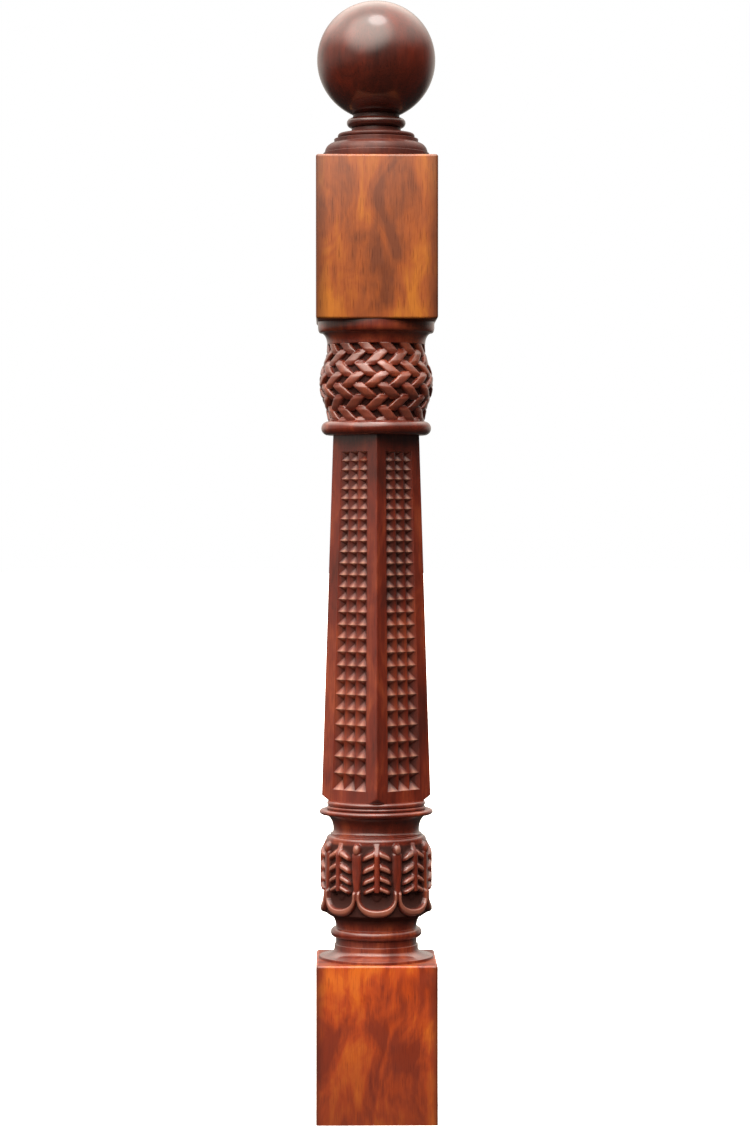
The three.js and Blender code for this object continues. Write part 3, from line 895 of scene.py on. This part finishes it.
def wood_tone(n, noise_at, place, figure):
    """The tone of the figure: broad flames drawn out up the post, with faint year rings."""
    sway = noise_at(SWAY_SCALE, 2)["Color"]
    warp = n.add("ShaderNodeVectorMath", {0: sway, 1: SWAY, 2: place}, operation="MULTIPLY_ADD")
    warp = warp.outputs[0]
    drawn = n.add("ShaderNodeMapping", {"Vector": warp, "Scale": FLAME_SCALE}).outputs[0]
    inputs = {"Vector": drawn, "Scale": 1, "Detail": 5, "Roughness": 0.55}
    flame = n.add("ShaderNodeTexNoise", inputs).outputs["Fac"]
    inputs = {"Vector": warp, "Location": LOG_PLACE, "Rotation": LOG_LEAN}
    log = n.add("ShaderNodeMapping", inputs).outputs[0]
    flat = n.add("ShaderNodeVectorMath", {0: log, 1: (1, 1, 0)}, operation="MULTIPLY").outputs[0]
    ring = n.add("ShaderNodeVectorMath", {0: flat}, operation="LENGTH").outputs["Value"]
    rings = n.math("SINE", n.math("MULTIPLY", ring, RING_TURNS))
    streak = noise_at(STREAK_SCALE, 3, Roughness=0.6)["Fac"]

    # Each part swings about nought, and their sum about the middle tone
    tone = n.math("MULTIPLY", n.math("SUBTRACT", flame, 0.5), FLAME_SWING)
    tone = n.math("ADD", tone, n.math("MULTIPLY", rings, RING_SWING))
    tone = n.math("MULTIPLY", tone, figure)
    swing = n.math("MULTIPLY", n.math("SUBTRACT", streak, 0.5), STREAK_SWING)
    return n.math("ADD", n.math("ADD", tone, swing), 0.5)


def wood_group():
    """Stained and lacquered wood: figure, fibres, pores, painted shade in the hollows and painted
    highlights.
    """
    group = bpy.data.node_groups.new("lacquered_wood", "ShaderNodeTree")
    sockets = {
        "INPUT": {
            "NodeSocketColor": ("Light", "Middle", "Dark", "Recess", "Highlight and Wear"),
            "NodeSocketFloat": ("Figure", "Hollow", "Coat"),
        },
        "OUTPUT": {
            "NodeSocketColor": ("Base Color",),
            "NodeSocketFloat": ("Roughness", "Coat Weight", "Height"),
        },
    }
    for side, kinds in sockets.items():
        for kind, names in kinds.items():
            for name in names:
                group.interface.new_socket(name, in_out=side, socket_type=kind)
    n = Nodes(group)
    given = n.add("NodeGroupInput").outputs
    place = n.add("ShaderNodeTexCoord").outputs["Object"]

    def noise_at(scale, detail, **inputs):
        spot = n.add("ShaderNodeMapping", {"Vector": place, "Scale": scale}).outputs[0]
        inputs = {"Vector": spot, "Scale": 1, "Detail": detail, **inputs}
        return n.add("ShaderNodeTexNoise", inputs).outputs

    tone = wood_tone(n, noise_at, place, given["Figure"])
    fibre = noise_at(FIBRE_SCALE, 2, Roughness=0.6)["Fac"]
    pore = noise_at(PORE_SCALE, 0)["Fac"]
    low, high = n.ramp(tone, DARK_STOPS), n.ramp(tone, LIGHT_STOPS)
    colour = n.mix(high, n.mix(low, given["Dark"], given["Middle"]), given["Light"])
    colour = n.mix(FIBRE_SHARE, colour, n.ramp(fibre, FIBRE_STOPS), "MULTIPLY")
    colour = n.mix(PORE_SHARE, colour, n.ramp(pore, PORE_STOPS), "MULTIPLY")
    # Paler where the hollow value is below nought: a painted highlight, with some wear on the
    # crests
    colour = n.mix(n.math("MULTIPLY", given["Hollow"], -1.0), colour, given["Highlight and Wear"])

    # Painted shade along the upright edges of the square blocks, and in every hollow
    off_axis = n.add("ShaderNodeVectorMath", {0: place}, operation="ABSOLUTE").outputs[0]
    axes = n.add("ShaderNodeSeparateXYZ", {0: off_axis}).outputs
    near = n.math("MINIMUM", axes["X"], axes["Y"])
    inputs = {0: near, 1: EDGE_SHADE_START, 2: BLOCK_SIDE / 2 * MM, 3: 0, 4: EDGE_SHADE}
    edge = n.add("ShaderNodeMapRange", inputs).outputs[0]
    dark = n.math("MAXIMUM", edge, n.math("MULTIPLY", given["Hollow"], HOLLOW_SHADE))
    colour = n.mix(dark, colour, given["Recess"])

    dust = noise_at(DUST_SCALE, 4)["Fac"]
    inputs = dict(enumerate((dust, *DUST_RANGE, *ROUGHNESS_RANGE)))
    rough = n.add("ShaderNodeMapRange", inputs).outputs[0]
    sunk = n.math("MAXIMUM", given["Hollow"], 0.0)
    rough = n.math("ADD", rough, n.math("MULTIPLY", sunk, HOLLOW_ROUGHNESS))
    coat = n.math("MULTIPLY", given["Coat"], n.math("SUBTRACT", 1.0, sunk))
    ripple = noise_at(RIPPLE_SCALE, 1)["Fac"]
    height = n.math("ADD", n.math("MULTIPLY", fibre, FIBRE_HEIGHT), ripple)
    out = n.add("NodeGroupOutput").inputs
    results = {"Base Color": colour, "Roughness": rough, "Coat Weight": coat, "Height": height}
    for name, value in results.items():
        group.links.new(value, out[name])
    return group


WOOD = wood_group()


def wood(name, light, middle, dark, recess, highlight_and_wear, figure, coat):
    material = bpy.data.materials.new(name)
    material.use_nodes = True
    tree = material.node_tree
    tree.nodes.clear()
    n = Nodes(tree)
    # The hollow value gives painted shade above nought and a painted highlight below it
    hollow = n.add("ShaderNodeAttribute", attribute_name="hollow").outputs["Fac"]
    grain = n.add("ShaderNodeGroup", node_tree=WOOD)
    shades = {"Light": light, "Middle": middle, "Dark": dark, "Recess": recess, "Highlight and Wear": highlight_and_wear}
    for key, value in shades.items():
        grain.inputs[key].default_value = (*linear(value), 1)
    grain.inputs["Figure"].default_value = figure
    grain.inputs["Coat"].default_value = coat
    tree.links.new(hollow, grain.inputs["Hollow"])
    height = grain.outputs["Height"]
    inputs = {"Strength": BUMP_STRENGTH, "Distance": BUMP_DISTANCE, "Height": height}
    bump = n.add("ShaderNodeBump", inputs)
    shader = n.add(
        "ShaderNodeBsdfPrincipled",
        {
            "Base Color": grain.outputs["Base Color"],
            "Roughness": grain.outputs["Roughness"],
            "Normal": bump.outputs[0],
            "IOR": IOR,
            "Specular IOR Level": SPECULAR_LEVEL,
            "Coat Weight": grain.outputs["Coat Weight"],
            "Coat Roughness": COAT_ROUGHNESS,
            "Coat IOR": IOR,
        },
    )
    out = n.add("ShaderNodeOutputMaterial", {"Surface": shader.outputs[0]})
    out.is_active_output = True
    return material


# Each wood's light, middle and dark tones, its painted shade in recesses and its painted highlight,
# with some wear, and then how strong its figure and its lacquer are
UPPER_BLOCK_WOOD = wood(
    "upper_block_wood", "bb702a", "9f5429", "743e26", "4a2414", "bb702a", figure=0.6, coat=0.6
)
LOWER_BLOCK_WOOD = wood(
    "lower_block_wood", "bf5c12", "a53d07", "7a2604", "360f07", "bf5c12", figure=0.85, coat=0.55
)
TURNED_WOOD = wood(
    "turned_wood", "914123", "6a2312", "47160b", "2c0d06", "a87460", figure=0.45, coat=1.0
)
BALL_WOOD = wood(
    "ball_wood", "662212", "4a190e", "300e08", "1c0804", "662212", figure=0.5, coat=1.0
)


def dress(piece, material, node):
    piece.data.materials.append(material)
    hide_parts(node)
    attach(piece, "root")


lower_block = square_block("lower_block", 0, LOWER_BLOCK_HEIGHT, sharp_foot=True)
upper_block = square_block(
    "upper_block", UPPER_BLOCK_BASE, UPPER_BLOCK_HEIGHT, sharp_foot=False
)
dress(lower_block, LOWER_BLOCK_WOOD, "post")
dress(upper_block, UPPER_BLOCK_WOOD, "post")
for member in (
    foot_turning(),
    leaf_bulb(),
    hollow_and_lip(),
    tapered_shaft(),
    shaft_bead(),
    weave_bulb(),
    necking_and_ring(),
    cap(),
):
    dress(member, TURNED_WOOD, "post")
dress(ball(), BALL_WOOD, "ball_finial")


# Camera: a little above the middle of the post and as far off as the photograph's perspective asks
CAMERA_DISTANCE = 3.142
CAMERA_HEIGHT = 0.6
CAMERA_LEFT = 0.045
LENS = 100
SENSOR = 36
AIM_RIGHT = -0.0012
AIM_HEIGHT = 0.5514


def camera():
    data = bpy.data.cameras.new("camera")
    data.lens = LENS
    data.sensor_width = SENSOR
    data.clip_end = 50
    made = bpy.data.objects.new("camera", data)
    made.location = (-CAMERA_LEFT, -CAMERA_DISTANCE, CAMERA_HEIGHT)
    aim = Vector((AIM_RIGHT, 0, AIM_HEIGHT)) - made.location
    made.rotation_euler = aim.to_track_quat("-Z", "Y").to_euler()
    bpy.context.scene.collection.objects.link(made)
    bpy.context.scene.camera = made


# The floor, in metres
FLOOR_HALF = 30
FLOOR_COLOUR = (0.85, 0.85, 0.84)
FLOOR_GLOW = 0.42

# Light of the studio. An edge is the stretch in which a glow fades in, by the part of the way to
# the light that goes along an axis, or towards the middle of the patch.
LIGHT_COLOUR = (1, 0.9, 0.81)
LEAST_STRENGTH = 0.05
PATCH_DIRECTION = Vector((-0.24, -0.6, 0.77)).normalized()
PATCH_STRENGTH = 4.0
PATCH_EDGE = (0.66, 0.94)
DOME_STRENGTH = 2.2
DOME_EDGE = (0.25, 0.75)
DOME_SIDES = (-0.9, 0.9)
DOME_LEFT = 1.2
DOME_RIGHT = 0.9
BACK_STRENGTH = 0.6
BACK_EDGE = (0.3, 0.9)
LEFT_STRENGTH = 0.45
LEFT_EDGE = (-0.3, -1)
HORIZON_EDGE = (-0.3, 0.1)
SUN_STRENGTH = 0.9
SUN_ANGLE = math.radians(26)
SUN_WAY = Vector((-0.03, 0.24, -1))


def staged_floor():
    """A pale floor that lights nothing."""
    bm = bmesh.new()
    bmesh.ops.create_grid(bm, x_segments=1, y_segments=1, size=FLOOR_HALF)
    mesh = bpy.data.meshes.new("floor")
    bm.to_mesh(mesh)
    bm.free()
    floor = bpy.data.objects.new("floor", mesh)
    bpy.context.scene.collection.objects.link(floor)
    floor.visible_diffuse = False
    floor.visible_glossy = False
    material = bpy.data.materials.new("floor")
    material.use_nodes = True
    shader = material.node_tree.nodes["Principled BSDF"]
    shader.inputs["Base Color"].default_value = (*FLOOR_COLOUR, 1)
    shader.inputs["Roughness"].default_value = 1
    shader.inputs["Specular IOR Level"].default_value = 0
    shader.inputs["Emission Color"].default_value = (1, 1, 1, 1)
    shader.inputs["Emission Strength"].default_value = FLOOR_GLOW
    mesh.materials.append(material)


def studio():
    """White where the camera sees it. To the post it is a bright patch high on the left in front,
    a paler dome overhead, a glow behind and on the left, and hardly anything below."""
    world = bpy.data.worlds.new("studio")
    world.use_nodes = True
    tree = world.node_tree
    n = Nodes(tree)
    way = n.add("ShaderNodeTexCoord").outputs["Generated"]
    axes = n.add("ShaderNodeSeparateXYZ", {0: way}).outputs

    def glow(value, edge, least, most):
        inputs = dict(enumerate((value, *edge, least, most)))
        return n.add("ShaderNodeMapRange", inputs, interpolation_type="SMOOTHSTEP").outputs[0]

    inputs = {0: way, 1: PATCH_DIRECTION}
    patch = n.add("ShaderNodeVectorMath", inputs, operation="DOT_PRODUCT").outputs["Value"]
    strength = n.math("ADD", glow(patch, PATCH_EDGE, 0, PATCH_STRENGTH), LEAST_STRENGTH)
    dome = glow(axes["Z"], DOME_EDGE, 0, DOME_STRENGTH)
    dome = n.math("MULTIPLY", dome, glow(axes["X"], DOME_SIDES, DOME_LEFT, DOME_RIGHT))
    strength = n.math("ADD", strength, dome)
    back = glow(axes["Y"], BACK_EDGE, 0, BACK_STRENGTH)
    sides = n.math("ADD", back, glow(axes["X"], LEFT_EDGE, 0, LEFT_STRENGTH))
    sides = n.math("MULTIPLY", sides, glow(axes["Z"], HORIZON_EDGE, 0, 1))
    strength = n.math("ADD", strength, sides)
    seen = n.add("ShaderNodeLightPath").outputs["Is Camera Ray"]
    shown = n.add("ShaderNodeMix", {0: seen, 2: strength, 3: 1.0}).outputs[0]
    background = tree.nodes["Background"].inputs
    tree.links.new(shown, background["Strength"])
    tree.links.new(n.mix(seen, LIGHT_COLOUR, WHITE), background["Color"])
    bpy.context.scene.world = world


def sunlight():
    data = bpy.data.lights.new("sun", "SUN")
    data.energy = SUN_STRENGTH
    data.angle = SUN_ANGLE
    made = bpy.data.objects.new("sun", data)
    made.rotation_euler = SUN_WAY.to_track_quat("-Z", "Y").to_euler()
    bpy.context.scene.collection.objects.link(made)


camera()
staged_floor()
studio()
sunlight()
bpy.context.scene.view_settings.view_transform = "Standard"
